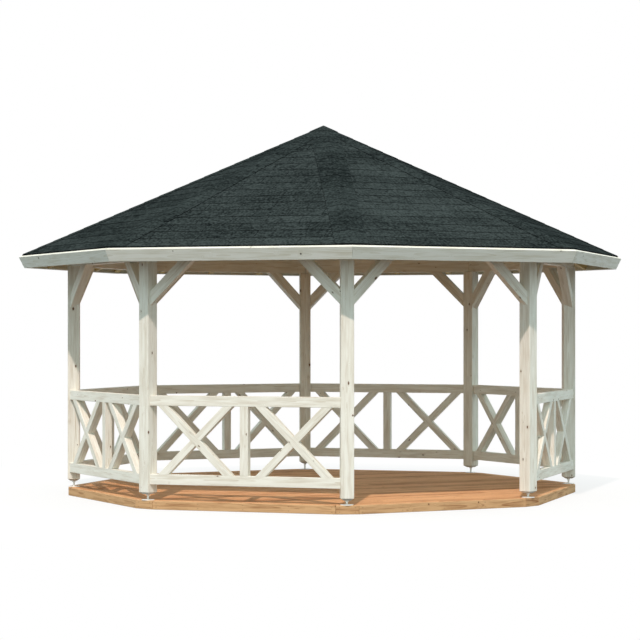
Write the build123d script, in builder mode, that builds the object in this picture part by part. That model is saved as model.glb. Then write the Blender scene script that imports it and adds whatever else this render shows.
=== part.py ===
from build123d import *
import os
from math import atan, cos, hypot, radians, sin, tan

os.makedirs("parts", exist_ok=True)

# An eight-sided garden gazebo in planed timber: a low deck, eight posts on adjustable steel feet, seven
# panels of crossed rails with one bay left open, knee braces, a mitred ring beam, and a hipped roof.
# Lengths are millimetres. Heights are above the ground, and the open bay faces -Y.

# ---- plan ----
SIDES = 8
HALF = radians(180 / SIDES)  # half the turn from one side to the next
FIRST_POST_ANGLE = 157.5
FIRST_BAY_ANGLE = 180
OPEN_BAY = 3
POST_RADIUS = 2516  # centre of the gazebo to the centre of a post

# ---- deck ----
DECK_TOP = 80
DECK_FLAT = 2412  # centre to the deck's long sides
DECK_CORNER = 2567  # centre to the short sides that cut off its corners
BOARD_THICKNESS = 28
JOIST_WIDTH = 45
JOISTS_TO_POST = 5  # joist spaces from the middle joist to the one under the outermost posts

# ---- posts and their feet ----
POST_SIZE = 120
POST_TOP = 2292
POST_BOTTOMS = (140, 134, 122, 122, 134, 140, 148, 148)  # the threaded feet are set higher to the back
POST_TAPER_HEIGHT = 20
POST_TAPER_INSET = 28
FOOT_PLATE_DIAMETER = 120
FOOT_PLATE_THICKNESS = 5
FOOT_ROD_DIAMETER = 20
FOOT_NUT_WIDTH = 30
FOOT_NUT_HEIGHT = 8

# ---- railing panels ----
PANEL_FACE = 2384  # centre to the panel's outer face
PANEL_DEPTH = 70
RAIL_HEIGHT = 95
LOWER_RAIL_BOTTOM = 228
UPPER_RAIL_TOP = 1049
UPRIGHT_WIDTH = 80
CROSS_WIDTH = 70

# ---- knee braces ----
BRACE_FACE = 2378
BRACE_DEPTH = 85
BRACE_REACH = 415  # from the post to the brace's outer edge, along the beam and down the post alike
BRACE_WIDTH = 95

# ---- ring beam ----
BEAM_FACE = BRACE_FACE
BEAM_THICKNESS = 90
BEAM_HEIGHT = 160
JOINT_GAP = 2  # hairline left open where like pieces meet in a mitre

# ---- roof ----
PITCH = radians(25.1)
EAVE = 2833  # centre to the top outer edge of the eaves
EAVE_HEIGHT = 2382
LATH_WIDTH = 43
LATH_THICKNESS = 8
SHEATHING_THICKNESS = 18
SHINGLE_THICKNESS = 18  # the laps of several courses
HIP_CAP_WIDTH = 160  # each side of the hip
HIP_CAP_THICKNESS = 4
APEX_CAP_REACH = 130
FASCIA_HEIGHT = 113
FASCIA_THICKNESS = 20

# ---- roof timbers ----
RAFTER_WIDTH = 60
RAFTER_DEPTH = 130
TAIL_DEPTH = 90
JACK_OFFSET = 600  # from the middle of a bay to its jack rafters
COMMON_END = 190  # centre to the upper end of the middle rafter, held between two hips
HIP_WIDTH = 80
HIP_DEPTH = 160
HUB_FLAT = 110  # centre to the faces that the hips butt against
HUB_BOTTOM = 3412
HUB_CHAMFER = 20

# ---- worked out from those ----
BEAM_TOP = POST_TOP + BEAM_HEIGHT
HIP_PITCH = atan(tan(PITCH) * cos(HALF))
HIP_SPLAY = atan(tan(PITCH) * sin(HALF) * cos(HIP_PITCH))  # fall of each slope away from the hip, across it
LATH_TOP = 0
SHEATHING_TOP = LATH_TOP - LATH_THICKNESS
RAFTER_TOP = SHEATHING_TOP - SHEATHING_THICKNESS
SHINGLE_TOP = SHEATHING_TOP + SHINGLE_THICKNESS
CAP_TOP = SHINGLE_TOP + HIP_CAP_THICKNESS
FAR = 3200  # beyond everything, for cutting shapes


def outward(angle):
    """Level direction at this angle from +X, seen from above."""
    return Vector(cos(radians(angle)), sin(radians(angle)), 0)


def plan_plane(angle, height=0):
    """Level plane whose x runs outwards at this angle and whose y runs along the side."""
    return Plane(origin=(0, 0, height), x_dir=outward(angle), z_dir=(0, 0, 1))


def section_plane(angle, along=0):
    """Upright plane square to a side: x runs outwards, y runs up. It stands this far along the side."""
    return Plane(origin=outward(angle + 90) * along, x_dir=outward(angle), z_dir=outward(angle - 90))


def face_plane(angle, distance):
    """Upright plane facing outwards at this angle and distance: x runs along the side, y runs up."""
    return Plane(origin=outward(angle) * distance, x_dir=outward(angle + 90), z_dir=outward(angle))


def post_angle(number):
    return FIRST_POST_ANGLE + (number - 1) * 360 / SIDES


def bay_angle(number):
    return FIRST_BAY_ANGLE + (number - 1) * 360 / SIDES


def clear_half(distance):
    """Half of the clear width between two posts, this far out from the centre of the gazebo."""
    return (distance * sin(HALF) - POST_SIZE / 2) / cos(HALF)


def bay_outline(back, front):
    """Plan of the space between two posts, which cuts the ends of rails and braces to fit them."""
    return [
        (back, -clear_half(back)),
        (front, -clear_half(front)),
        (front, clear_half(front)),
        (back, clear_half(back)),
    ]


def wedge_outline(gap=0):
    """Plan of one eighth of the gazebo, short of its neighbours by half a gap, which cuts mitres."""
    reach = FAR * tan(HALF) - gap / 2 / cos(HALF)
    return [(gap / 2 / sin(HALF), 0), (FAR, -reach), (FAR, reach)]


def roof_height(distance, offset):
    """Height of a roof plane at this level distance from the centre. The offset is square to the slope."""
    return EAVE_HEIGHT + (EAVE - distance) * tan(PITCH) + offset / cos(PITCH)


def slope_point(up, offset):
    """Point of a bay's section, given by its way up the slope from the eave and its offset from it."""
    distance = EAVE - up * cos(PITCH) + offset * sin(PITCH)
    height = EAVE_HEIGHT + up * sin(PITCH) + offset * cos(PITCH)
    return (distance, height)


def slope_plane(angle, offset):
    """Plane of one roof slope, facing the sky."""
    distance, height = slope_point(0, offset)
    facing = outward(angle) * sin(PITCH) + Vector(0, 0, cos(PITCH))
    return Plane(origin=outward(angle) * distance + Vector(0, 0, height), z_dir=facing)


def eave_plane(angle, up):
    """Plane square to one roof slope, this far up from its eave, facing down the slope."""
    distance, height = slope_point(up, 0)
    facing = outward(angle) * cos(PITCH) - Vector(0, 0, sin(PITCH))
    return Plane(origin=outward(angle) * distance + Vector(0, 0, height), z_dir=facing)


def write(part, name):
    part.label = name
    export_step(part, f"parts/{name}.step")


def mitred_piece(section, angle=0, gap=0):
    """A section carried along one side of the gazebo and mitred at both ends."""
    with BuildPart() as piece:
        with BuildSketch(section_plane(angle)):
            Polygon(*section)
        extrude(amount=FAR * tan(HALF), both=True)
        with BuildSketch(plan_plane(angle)):
            Polygon(*wedge_outline(gap))
        extrude(amount=2 * EAVE_HEIGHT, mode=Mode.INTERSECT)
    return piece.part


def all_round(piece, start_angle=0):
    """The same piece on all eight sides."""
    with BuildPart() as ring:
        with PolarLocations(0, SIDES, start_angle=start_angle):
            add(piece)
    return ring.part


# ---- deck: joists on the ground, a floor on them, and a rim of long and short boards round both ----


def rim_half(distance, next_distance):
    """Half the length of one side of the deck's outline, from its distance and its neighbours'."""
    return (next_distance - distance * cos(HALF)) / sin(HALF)


def rim_board(angle, flat, next_flat):
    """A rim board with mitred ends."""
    back = flat - BOARD_THICKNESS
    back_half = rim_half(back, next_flat - BOARD_THICKNESS)
    front_half = rim_half(flat, next_flat)
    with BuildPart() as board:
        with BuildSketch(plan_plane(angle)):
            Polygon((back, -back_half), (flat, -front_half), (flat, front_half), (back, back_half))
        extrude(amount=DECK_TOP)
    return board.part


floor_flat = DECK_FLAT - BOARD_THICKNESS
floor_corner = DECK_CORNER - BOARD_THICKNESS
joist_height = DECK_TOP - BOARD_THICKNESS
joist_spacing = POST_RADIUS * cos(HALF) / JOISTS_TO_POST

with BuildPart() as deck_joists:
    with BuildSketch():
        with GridLocations(joist_spacing, 0, 2 * JOISTS_TO_POST + 1, 1):
            Rectangle(JOIST_WIDTH, 2 * FAR)
        RegularPolygon(floor_flat, SIDES, major_radius=False, rotation=180 / SIDES, mode=Mode.INTERSECT)
        RegularPolygon(floor_corner, SIDES, major_radius=False, mode=Mode.INTERSECT)
    extrude(amount=joist_height)
write(deck_joists.part, "deck_joists")

with BuildPart() as deck_floor:
    with BuildSketch(Plane.XY.offset(joist_height)):
        RegularPolygon(floor_flat, SIDES, major_radius=False, rotation=180 / SIDES)
        RegularPolygon(floor_corner, SIDES, major_radius=False, mode=Mode.INTERSECT)
    extrude(amount=BOARD_THICKNESS)
write(deck_floor.part, "deck_floor")

write(all_round(rim_board(0, DECK_FLAT, DECK_CORNER)), "deck_rim_sides")
write(all_round(rim_board(0, DECK_CORNER, DECK_FLAT), 180 / SIDES), "deck_rim_corners")


# ---- posts: square timbers with a tapered lower end, each on a plate, a threaded rod and a nut ----

with BuildPart() as post_feet:
    for number, bottom in enumerate(POST_BOTTOMS, start=1):
        angle = post_angle(number)
        with BuildSketch(plan_plane(angle, DECK_TOP)):
            with Locations((POST_RADIUS, 0)):
                Circle(FOOT_PLATE_DIAMETER / 2)
        extrude(amount=FOOT_PLATE_THICKNESS)
        with BuildSketch(plan_plane(angle, DECK_TOP)):
            with Locations((POST_RADIUS, 0)):
                Circle(FOOT_ROD_DIAMETER / 2)
        extrude(amount=bottom - DECK_TOP)
        with BuildSketch(plan_plane(angle, bottom)):
            with Locations((POST_RADIUS, 0)):
                RegularPolygon(FOOT_NUT_WIDTH / 2, 6, major_radius=False)
        extrude(amount=-FOOT_NUT_HEIGHT)
write(post_feet.part, "post_feet")

for number, bottom in enumerate(POST_BOTTOMS, start=1):
    angle = post_angle(number)
    with BuildPart() as post:
        with BuildSketch(plan_plane(angle, bottom + POST_TAPER_HEIGHT)):
            with Locations((POST_RADIUS, 0)):
                Rectangle(POST_SIZE, POST_SIZE)
        extrude(amount=POST_TOP - bottom - POST_TAPER_HEIGHT)
        with BuildSketch(plan_plane(angle, bottom)):
            with Locations((POST_RADIUS, 0)):
                Rectangle(POST_SIZE - 2 * POST_TAPER_INSET, POST_SIZE - 2 * POST_TAPER_INSET)
        with BuildSketch(plan_plane(angle, bottom + POST_TAPER_HEIGHT)):
            with Locations((POST_RADIUS, 0)):
                Rectangle(POST_SIZE, POST_SIZE)
        loft()
    write(post.part, f"post_{number}")


# ---- railing panels: two rails, a middle upright, and a half-lapped cross in each half ----

panel_back = PANEL_FACE - PANEL_DEPTH
cross_height = UPPER_RAIL_TOP - LOWER_RAIL_BOTTOM - 2 * RAIL_HEIGHT
cross_middle = (UPPER_RAIL_TOP + LOWER_RAIL_BOTTOM) / 2
half_bay = clear_half(PANEL_FACE - PANEL_DEPTH / 2) - UPRIGHT_WIDTH / 2
cross_offset = (UPRIGHT_WIDTH + half_bay) / 2

for number in range(1, SIDES + 1):
    if number == OPEN_BAY:
        continue
    angle = bay_angle(number)
    with BuildPart() as railing:
        with BuildSketch(face_plane(angle, panel_back)):
            with Locations((-cross_offset, cross_middle), (cross_offset, cross_middle)):
                Rectangle(2 * cross_height, CROSS_WIDTH, rotation=45)
                Rectangle(2 * cross_height, CROSS_WIDTH, rotation=-45)
            with Locations((0, cross_middle)):
                Rectangle(2 * clear_half(PANEL_FACE), cross_height, mode=Mode.INTERSECT)
                Rectangle(UPRIGHT_WIDTH, cross_height)
            with Locations((0, LOWER_RAIL_BOTTOM), (0, UPPER_RAIL_TOP - RAIL_HEIGHT)):
                Rectangle(2 * clear_half(PANEL_FACE), RAIL_HEIGHT, align=(Align.CENTER, Align.MIN))
        extrude(amount=PANEL_DEPTH)
        with BuildSketch(plan_plane(angle)):
            Polygon(*bay_outline(panel_back, PANEL_FACE))
        extrude(amount=UPPER_RAIL_TOP, mode=Mode.INTERSECT)
    write(railing.part, f"railing_{number}")


# ---- knee braces: a pair in each bay, at 45 degrees, cut to the posts and the beam ----

brace_back = BRACE_FACE - BRACE_DEPTH
brace_inner_reach = BRACE_REACH - BRACE_WIDTH / cos(radians(45))

with BuildPart() as brace_pair:
    with BuildSketch(face_plane(0, brace_back)):
        with BuildLine():
            Polyline(
                (clear_half(BRACE_FACE) - BRACE_REACH, POST_TOP),
                (clear_half(BRACE_FACE), POST_TOP - BRACE_REACH),
                (clear_half(BRACE_FACE) + POST_SIZE, POST_TOP - BRACE_REACH - POST_SIZE),
                (clear_half(BRACE_FACE) + POST_SIZE, POST_TOP - brace_inner_reach - POST_SIZE),
                (clear_half(BRACE_FACE) - brace_inner_reach, POST_TOP),
                close=True,
            )
        make_face()
        mirror(about=Plane.YZ)
    extrude(amount=BRACE_DEPTH)
    with BuildSketch():
        Polygon(*bay_outline(brace_back, BRACE_FACE))
    extrude(amount=POST_TOP, mode=Mode.INTERSECT)
write(all_round(brace_pair.part), "knee_braces")


# ---- ring beam: eight mitred beams on the post tops, flush with the braces ----

beam_section = [
    (BEAM_FACE - BEAM_THICKNESS, POST_TOP),
    (BEAM_FACE, POST_TOP),
    (BEAM_FACE, BEAM_TOP),
    (BEAM_FACE - BEAM_THICKNESS, BEAM_TOP),
]
write(all_round(mitred_piece(beam_section, gap=JOINT_GAP)), "ring_beams")


# ---- hip rafters: over each post, with a seat on the beams and a top bevelled to both slopes ----


def hip_height(distance, offset):
    """Height of the roof plane on a hip, this far out from the centre."""
    return roof_height(distance * cos(HALF), offset)


hip_drop = HIP_DEPTH / cos(HIP_PITCH)
seat_out = BEAM_FACE / cos(HALF)
seat_in = (EAVE - (BEAM_TOP + hip_drop - roof_height(EAVE, RAFTER_TOP)) / tan(PITCH)) / cos(HALF)
tail_offset = RAFTER_TOP - TAIL_DEPTH
tail_end = EAVE / cos(HALF)

with BuildPart() as hip_rafter:
    with BuildSketch(section_plane(180 / SIDES)):
        Polygon(
            (HUB_FLAT, hip_height(HUB_FLAT, RAFTER_TOP)),
            (HUB_FLAT, hip_height(HUB_FLAT, RAFTER_TOP) - hip_drop),
            (seat_in, BEAM_TOP),
            (seat_out, BEAM_TOP),
            (seat_out, hip_height(seat_out, tail_offset)),
            (tail_end, hip_height(tail_end, tail_offset)),
            (tail_end, hip_height(tail_end, RAFTER_TOP)),
        )
    extrude(amount=HIP_WIDTH / 2, both=True)
    for side in (0, 360 / SIDES):
        split(bisect_by=slope_plane(side, RAFTER_TOP), keep=Keep.BOTTOM)
        split(bisect_by=eave_plane(side, FASCIA_THICKNESS), keep=Keep.BOTTOM)
write(all_round(hip_rafter.part), "hip_rafters")


# ---- rafters: one in the middle of each slope and a shorter jack each side, notched over the beam ----

rafter_bottom = RAFTER_TOP - RAFTER_DEPTH
rafter_seat_in = EAVE - (BEAM_TOP - roof_height(EAVE, rafter_bottom)) / tan(PITCH)
rafter_section = [
    slope_point(FASCIA_THICKNESS, RAFTER_TOP),
    slope_point(FASCIA_THICKNESS, tail_offset),
    (BEAM_FACE, roof_height(BEAM_FACE, tail_offset)),
    (BEAM_FACE, BEAM_TOP),
    (rafter_seat_in, BEAM_TOP),
    (COMMON_END, roof_height(COMMON_END, rafter_bottom)),
    (COMMON_END, roof_height(COMMON_END, RAFTER_TOP)),
]

with BuildPart() as slope_rafters:
    for along in (-JACK_OFFSET, 0, JACK_OFFSET):
        with BuildSketch(section_plane(0, along)):
            Polygon(*rafter_section)
        extrude(amount=RAFTER_WIDTH / 2, both=True)
    with BuildSketch():
        Polygon(*wedge_outline(HIP_WIDTH))
    extrude(amount=2 * EAVE_HEIGHT, mode=Mode.INTERSECT)
write(all_round(slope_rafters.part), "rafters")


# ---- hub: an eight-sided king block under the apex, which the hip rafters butt against ----

with BuildPart() as roof_hub:
    with BuildSketch(Plane.XY.offset(HUB_BOTTOM)):
        RegularPolygon(HUB_FLAT, SIDES, major_radius=False)
    extrude(amount=roof_height(0, 0) - HUB_BOTTOM)
    chamfer(roof_hub.faces().sort_by(Axis.Z)[0].edges(), HUB_CHAMFER)
    for number in range(1, SIDES + 1):
        split(bisect_by=slope_plane(bay_angle(number), RAFTER_TOP), keep=Keep.BOTTOM)
write(roof_hub.part, "roof_hub")


# ---- sheathing: eight boarded slopes that meet on the hips ----

sheathing_section = [
    slope_point(FASCIA_THICKNESS, RAFTER_TOP),
    slope_point(FASCIA_THICKNESS, SHEATHING_TOP),
    (0, roof_height(0, SHEATHING_TOP)),
    (0, roof_height(0, RAFTER_TOP)),
]
for number in range(1, SIDES + 1):
    write(mitred_piece(sheathing_section, bay_angle(number)), f"roof_boards_{number}")


# ---- eaves: a fascia board that stands square to the slope, and a lath along its top ----

fascia_bottom = SHEATHING_TOP - FASCIA_HEIGHT
fascia_section = [
    slope_point(0, fascia_bottom),
    slope_point(0, SHEATHING_TOP),
    slope_point(FASCIA_THICKNESS, SHEATHING_TOP),
    slope_point(FASCIA_THICKNESS, fascia_bottom),
]
write(all_round(mitred_piece(fascia_section, gap=JOINT_GAP)), "fascia_boards")

lath_section = [
    slope_point(0, SHEATHING_TOP),
    slope_point(0, LATH_TOP),
    slope_point(LATH_WIDTH, LATH_TOP),
    slope_point(LATH_WIDTH, SHEATHING_TOP),
]
write(all_round(mitred_piece(lath_section, gap=JOINT_GAP)), "eave_laths")


# ---- covering: shingles on the slopes, cap strips folded over the hips, and a cap on the apex ----

shingle_section = [
    slope_point(LATH_WIDTH, SHEATHING_TOP),
    slope_point(LATH_WIDTH, SHINGLE_TOP),
    (0, roof_height(0, SHINGLE_TOP)),
    (0, roof_height(0, SHEATHING_TOP)),
]
write(all_round(mitred_piece(shingle_section, gap=JOINT_GAP)), "roof_shingles")


def strip_edge(offset, side):
    """Edge point of a hip cap, across the hip."""
    across = HIP_CAP_WIDTH * cos(HIP_SPLAY) + offset * sin(HIP_SPLAY)
    height = offset * cos(HIP_SPLAY) - HIP_CAP_WIDTH * sin(HIP_SPLAY)
    return (side * across, height)


cap_end = EAVE - LATH_WIDTH * cos(PITCH)
hip_length = hypot(EAVE / cos(HALF), roof_height(0, 0) - EAVE_HEIGHT)
eave_corner = outward(0) * (EAVE / cos(HALF)) + Vector(0, 0, EAVE_HEIGHT)
up_the_hip = outward(180) * cos(HIP_PITCH) + Vector(0, 0, sin(HIP_PITCH))

with BuildPart() as hip_cap:
    with BuildSketch(Plane(origin=eave_corner, x_dir=outward(-90), z_dir=up_the_hip)):
        Polygon(
            (0, CAP_TOP / cos(HIP_SPLAY)),
            strip_edge(CAP_TOP, 1),
            strip_edge(SHINGLE_TOP, 1),
            (0, SHINGLE_TOP / cos(HIP_SPLAY)),
            strip_edge(SHINGLE_TOP, -1),
            strip_edge(CAP_TOP, -1),
        )
    extrude(amount=hip_length + APEX_CAP_REACH)
    with BuildSketch():
        Polygon(*wedge_outline(JOINT_GAP))
        RegularPolygon(cap_end, SIDES, major_radius=False, mode=Mode.INTERSECT)
    extrude(amount=2 * EAVE_HEIGHT, mode=Mode.INTERSECT)
write(all_round(hip_cap.part, 180 / SIDES), "hip_caps")

apex_section = [
    (APEX_CAP_REACH, roof_height(APEX_CAP_REACH, CAP_TOP)),
    (APEX_CAP_REACH, roof_height(APEX_CAP_REACH, CAP_TOP + HIP_CAP_THICKNESS)),
    (0, roof_height(0, CAP_TOP + HIP_CAP_THICKNESS)),
    (0, roof_height(0, CAP_TOP)),
]
write(all_round(mitred_piece(apex_section)), "apex_cap")
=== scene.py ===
import math

import bpy
import numpy as np
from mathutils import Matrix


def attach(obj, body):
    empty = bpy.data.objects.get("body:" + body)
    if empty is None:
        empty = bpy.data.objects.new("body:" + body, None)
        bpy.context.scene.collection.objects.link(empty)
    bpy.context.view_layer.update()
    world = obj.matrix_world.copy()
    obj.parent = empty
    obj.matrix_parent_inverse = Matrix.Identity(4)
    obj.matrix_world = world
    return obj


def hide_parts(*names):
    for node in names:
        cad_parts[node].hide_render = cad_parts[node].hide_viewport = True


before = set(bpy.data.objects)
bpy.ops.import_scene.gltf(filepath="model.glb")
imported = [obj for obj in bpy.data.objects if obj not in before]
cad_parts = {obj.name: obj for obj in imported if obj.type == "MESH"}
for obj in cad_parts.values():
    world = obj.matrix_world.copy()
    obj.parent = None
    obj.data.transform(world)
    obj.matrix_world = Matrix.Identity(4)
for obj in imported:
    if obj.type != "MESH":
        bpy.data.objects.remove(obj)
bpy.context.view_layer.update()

chance = np.random.default_rng(8)


# ---- Joists ----------------------------------------------------------------------------------------
# Sawn, pressure-treated pine laid on the ground from the entrance to the back, under the floor.
# They keep their built shape and get a rough, greenish finish with the grain along them.

RING_WIDTH = 0.004
RING_POWER = 2.5  # the higher, the thinner the dark line of a ring
RING_BEND = 0.03  # how far soft noise shifts the rings
KNOT_SWELL = 0.012  # and how far they swell at a knot
KNOT_REACH = 0.2  # cells over which the swelling fades
KNOT_EDGE = 0.016  # cells over which the knot's own colour fades
CELLS_ALONG = 7.1  # cells of the knot pattern to a metre of log, with one branch in each
CELLS_ROUND = 0.95  # and to a radian round the pith, which makes about six in all
BRANCH_START = 0.01  # distance from the pith where a branch has no thickness yet
BRANCH_GROWN = 0.05  # and where it has all of it


def tint(red, green, blue):
    """Scene colour of a swatch given in display values from 0 to 255."""
    swatch = np.array([red, green, blue]) / 255
    linear = np.where(swatch > 0.04045, ((swatch + 0.055) / 1.055) ** 2.4, swatch / 12.92)
    return (*linear.tolist(), 1.0)


def put(tree, kind, inputs, **settings):
    """A node with its settings made. An input that is a socket is linked, and any other is set."""
    made = tree.nodes.new(kind)
    for key, value in settings.items():
        setattr(made, key, value)
    for key, value in inputs.items():
        if isinstance(value, bpy.types.NodeSocket):
            tree.links.new(value, made.inputs[key])
        else:
            made.inputs[key].default_value = value
    return made


def calc(tree, operation, *values, clamp=False):
    """Result of a Math node."""
    made = put(tree, "ShaderNodeMath", dict(enumerate(values)), operation=operation, use_clamp=clamp)
    return made.outputs[0]


def vector_calc(tree, operation, *values):
    """Result of a Vector Math node."""
    made = put(tree, "ShaderNodeVectorMath", dict(enumerate(values)), operation=operation)
    return made.outputs["Value" if operation == "LENGTH" else "Vector"]


def ease(tree, value, low, high, to_low=0.0, to_high=1.0):
    """Value carried smoothly from one range to another."""
    inputs = {0: value, 1: low, 2: high, 3: to_low, 4: to_high}
    return put(tree, "ShaderNodeMapRange", inputs, interpolation_type="SMOOTHSTEP").outputs[0]


def noise(tree, vector, waves, detail=2.0):
    """Soft noise from 0 to 1, with this many waves to the metre along each axis."""
    inputs = {"Vector": vector_calc(tree, "MULTIPLY", vector, waves), "Scale": 1.0, "Detail": detail}
    return put(tree, "ShaderNodeTexNoise", inputs).outputs[0]


def mix(tree, mask, first, second):
    """Colour that goes from the first to the second as the mask goes from 0 to 1."""
    return put(tree, "ShaderNodeMix", {0: mask, 6: first, 7: second}, data_type="RGBA").outputs[2]


def blank_material(name):
    """New material, with its node tree and its shader."""
    material = bpy.data.materials.new(name)
    material.use_nodes = True
    return material, material.node_tree, material.node_tree.nodes["Principled BSDF"]


def give_relief(tree, shader, height, strength, depth):
    """Relief of this depth, where the height goes from 0 to 1."""
    bump = put(tree, "ShaderNodeBump", {"Strength": strength, "Distance": depth, "Height": height})
    tree.links.new(bump.outputs[0], shader.inputs["Normal"])


def group_tree(name, inputs, outputs):
    """Empty node group with its sockets, and what comes in and goes out of it."""
    tree = bpy.data.node_groups.new(name, "ShaderNodeTree")
    for label, kind in inputs.items():
        tree.interface.new_socket(label, in_out="INPUT", socket_type=kind)
    for label in outputs:
        tree.interface.new_socket(label, in_out="OUTPUT", socket_type="NodeSocketFloat")
    return tree, tree.nodes.new("NodeGroupInput").outputs, tree.nodes.new("NodeGroupOutput").inputs


def wood_figure_group():
    """Figure of sawn softwood, cut from a log whose pith runs along x near the coordinates' origin.

    Rings: the distance from the pith, bent by soft noise and swollen near knots, divided by the ring
    width. Its fraction, raised to a power, is pale wood that darkens to a thin line and starts again.
    Knots: branches that leave the pith, one to a cell over the length and the way round the pith, each
    as thick as chance has it and thinner near the pith. Wood round them is darker too.
    """
    tree, given, result = group_tree(
        "wood_figure",
        {"Vector": "NodeSocketVector", "Knot Size": "NodeSocketFloat"},
        ["Rings", "Fibre", "Streaks", "Knots", "Halo"],
    )
    vector = given["Vector"]
    from_pith = vector_calc(tree, "MULTIPLY", vector, (0, 1, 1))
    direction = vector_calc(tree, "NORMALIZE", from_pith)
    way_round = vector_calc(tree, "MULTIPLY", direction, (0, CELLS_ROUND, CELLS_ROUND))
    way_along = vector_calc(tree, "MULTIPLY", vector, (CELLS_ALONG, 0, 0))
    branch_place = vector_calc(tree, "ADD", way_along, way_round)
    branches = put(tree, "ShaderNodeTexVoronoi", {"Vector": branch_place, "Scale": 1.0}).outputs
    chosen = put(tree, "ShaderNodeSeparateColor", {0: branches["Color"]}).outputs[0]
    pith_distance = vector_calc(tree, "LENGTH", from_pith)
    cone = ease(tree, pith_distance, BRANCH_START, BRANCH_GROWN)
    girth = calc(tree, "MULTIPLY", calc(tree, "MULTIPLY", chosen, given["Knot Size"]), cone)
    near_knot = calc(tree, "SUBTRACT", branches["Distance"], girth)
    halo_edge = calc(tree, "MULTIPLY", girth, 2.0)
    tree.links.new(ease(tree, near_knot, 0.0, KNOT_EDGE, 1.0, 0.0), result["Knots"])
    tree.links.new(ease(tree, near_knot, 0.0, halo_edge, 0.7, 0.0), result["Halo"])

    bend = calc(tree, "MULTIPLY", noise(tree, vector, (0.9, 5, 5)), RING_BEND)
    swell = ease(tree, near_knot, 0.0, KNOT_REACH, KNOT_SWELL, 0.0)
    grown = calc(tree, "ADD", calc(tree, "ADD", pith_distance, bend), swell)
    season = calc(tree, "FRACT", calc(tree, "DIVIDE", grown, RING_WIDTH))
    tree.links.new(calc(tree, "POWER", season, RING_POWER), result["Rings"])
    tree.links.new(noise(tree, vector, (9, 420, 420), 3.0), result["Fibre"])
    tree.links.new(noise(tree, vector, (3.5, 30, 30), 4.0), result["Streaks"])
    return tree


wood_figure = wood_figure_group()


def wood_material(name, pale, dark, knot, contrast=0.5, streaks=2.5, variety=0.35, knot_size=0.06,
                  roughness=0.6, gloss=0.3, relief=0.3, object_axes=None):
    """Softwood: pale wood with darker rings, fibres and streaks, toned timber by timber, and knots.

    The figure follows each timber's own grain attribute, or the object's axes in the order given.
    Rings, fibres, streaks, the timber's tone and the wood round a knot are added up, and the sum times
    the contrast is the share of the dark colour.
    """
    material, tree, shader = blank_material(name)
    shader.inputs["Specular IOR Level"].default_value = gloss
    if object_axes:
        place = put(tree, "ShaderNodeTexCoord", {}).outputs["Object"]
        way = put(tree, "ShaderNodeSeparateXYZ", {0: place}).outputs
        reordered = {n: way[axis] for n, axis in enumerate(object_axes)}
        vector = put(tree, "ShaderNodeCombineXYZ", reordered).outputs[0]
        tone = 0.0
    else:
        vector = put(tree, "ShaderNodeAttribute", {}, attribute_name="grain").outputs["Vector"]
        tone = put(tree, "ShaderNodeAttribute", {}, attribute_name="tone").outputs["Fac"]
    inputs = {"Vector": vector, "Knot Size": knot_size}
    figure = put(tree, "ShaderNodeGroup", inputs, node_tree=wood_figure).outputs
    grain = calc(tree, "ADD", figure["Rings"], calc(tree, "SUBTRACT", figure["Fibre"], 0.35))
    streaky = calc(tree, "MULTIPLY", calc(tree, "SUBTRACT", figure["Streaks"], 0.5), streaks)
    shade = calc(tree, "ADD", calc(tree, "ADD", grain, streaky), calc(tree, "MULTIPLY", tone, variety))
    shade = calc(tree, "ADD", shade, figure["Halo"])
    mask = calc(tree, "MULTIPLY", shade, contrast, clamp=True)
    coloured = mix(tree, mask, pale, dark)
    tree.links.new(mix(tree, figure["Knots"], coloured, knot), shader.inputs["Base Color"])
    rough = ease(tree, mask, 0.0, 1.0, roughness - 0.06, roughness + 0.1)
    tree.links.new(rough, shader.inputs["Roughness"])
    give_relief(tree, shader, calc(tree, "ADD", grain, figure["Knots"]), relief, 0.0006)
    return material


sawn_joist = wood_material(
    "sawn_joist", tint(168, 158, 118), tint(112, 106, 78), tint(84, 70, 50),
    contrast=0.7, roughness=0.8, relief=0.8, object_axes=(1, 0, 2),
)
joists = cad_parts["deck_joists"]
joists.data.materials.clear()
joists.data.materials.append(sawn_joist)


# ---- Deck floor ------------------------------------------------------------------------------------
# Planed larch boards laid across the joists, with eased arrises and a gap for drainage, cut to the
# deck's outline and butted over a joist. They are oiled, and held with two steel screws a joist.

UP = np.array([0.0, 0.0, 1.0])
SIDES = 8
HALF = math.pi / SIDES  # half the turn from one side of the gazebo to the next
FLOOR_BOARDS = 39
FLOOR_GAP = 0.005
FLOOR_ARRIS = 0.004
FLOOR_BACK_ARRIS = 0.001
BUTT_GAP = 0.002
BUTT_JOISTS = 5  # the middle joists, over which the butts are staggered
RIM_GAP = 0.003
JOIST_SPACING = 0.4649
JOISTS = 11
SCREW_INSET = 0.028
ROUNDING = (0.0, math.pi / 4, math.pi / 2)  # angles round a quarter of an arris
LOG_SHIFT = 40.0  # a timber's figure comes from anywhere on so long a log, each way
PITH_STRAY = 0.015  # farthest that the pith lies from a stout timber's middle
PITH_BESIDE = (0.05, 0.12)  # nearest and farthest that it lies behind a board
BOARD_SHARE = 0.4  # a board is thinner than this share of its width


def outward(degrees):
    """Level direction at this angle from +X, seen from above."""
    return np.array([math.cos(math.radians(degrees)), math.sin(math.radians(degrees)), 0.0])


def extent(node, direction):
    """Lowest and highest place of a built node's corners along a direction."""
    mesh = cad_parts[node].data
    corners = np.empty(3 * len(mesh.vertices))
    mesh.vertices.foreach_get("co", corners)
    places = corners.reshape(-1, 3) @ direction
    return places.min(), places.max()


def axes(origin, along, facing):
    """Local axes as rows: the origin, the way along, the way across, and the way that the face looks."""
    return np.array([origin, along, np.cross(facing, along), facing])


def side_axes(angle, distance):
    """Axes of an upright side at this distance: along it, up, and outwards, from its middle at 0."""
    return axes(outward(angle) * distance, outward(angle + 90), outward(angle))


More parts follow.
